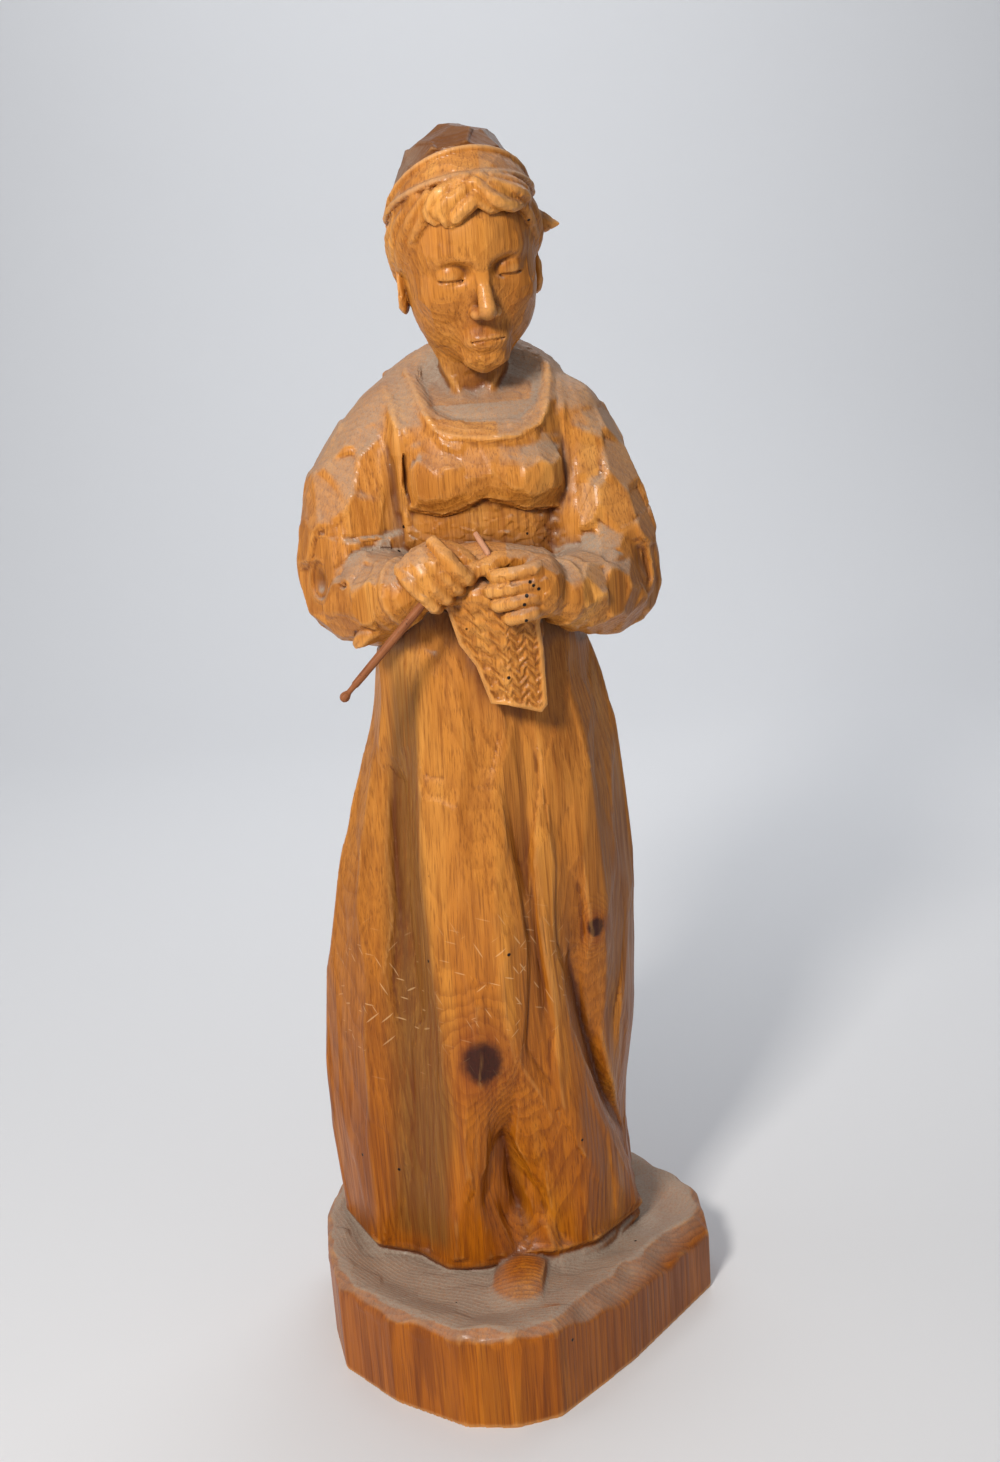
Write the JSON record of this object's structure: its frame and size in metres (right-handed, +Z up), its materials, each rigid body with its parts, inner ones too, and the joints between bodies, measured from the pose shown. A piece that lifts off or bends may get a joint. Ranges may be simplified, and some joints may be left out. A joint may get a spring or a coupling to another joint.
{
  "type": "carved wooden figurine",
  "caption": "Carved softwood statuette of a standing woman in cap, blouse and long dress who knits, on a faceted plinth with a flat underside; the needle in her fist slides out.",
  "frame": {"origin": "centre of the plinth's flat underside, in the middle of the object's outer box", "axes": "+Z up along the standing figure, the figure faces -Y, and +X is on the right of a viewer who stands in front"},
  "size_m": [0.177, 0.154, 0.52],
  "materials": {
    "figure_wood": "satin, oiled or thinly varnished, with dust on the upward faces",
    "needle_wood": "satin"
  },
  "bodies": {
    "figure": {"carved_figure": "figure_wood", "left_needle": "needle_wood"},
    "needle": {"right_needle": "needle_wood"}
  },
  "joints": [
    {"name": "needle_slide", "type": "slide", "parent": "figure", "child": "needle", "axis": [-0.6987, -0.1318, -0.7031], "range_m": [0, 0.018]}
  ]
}
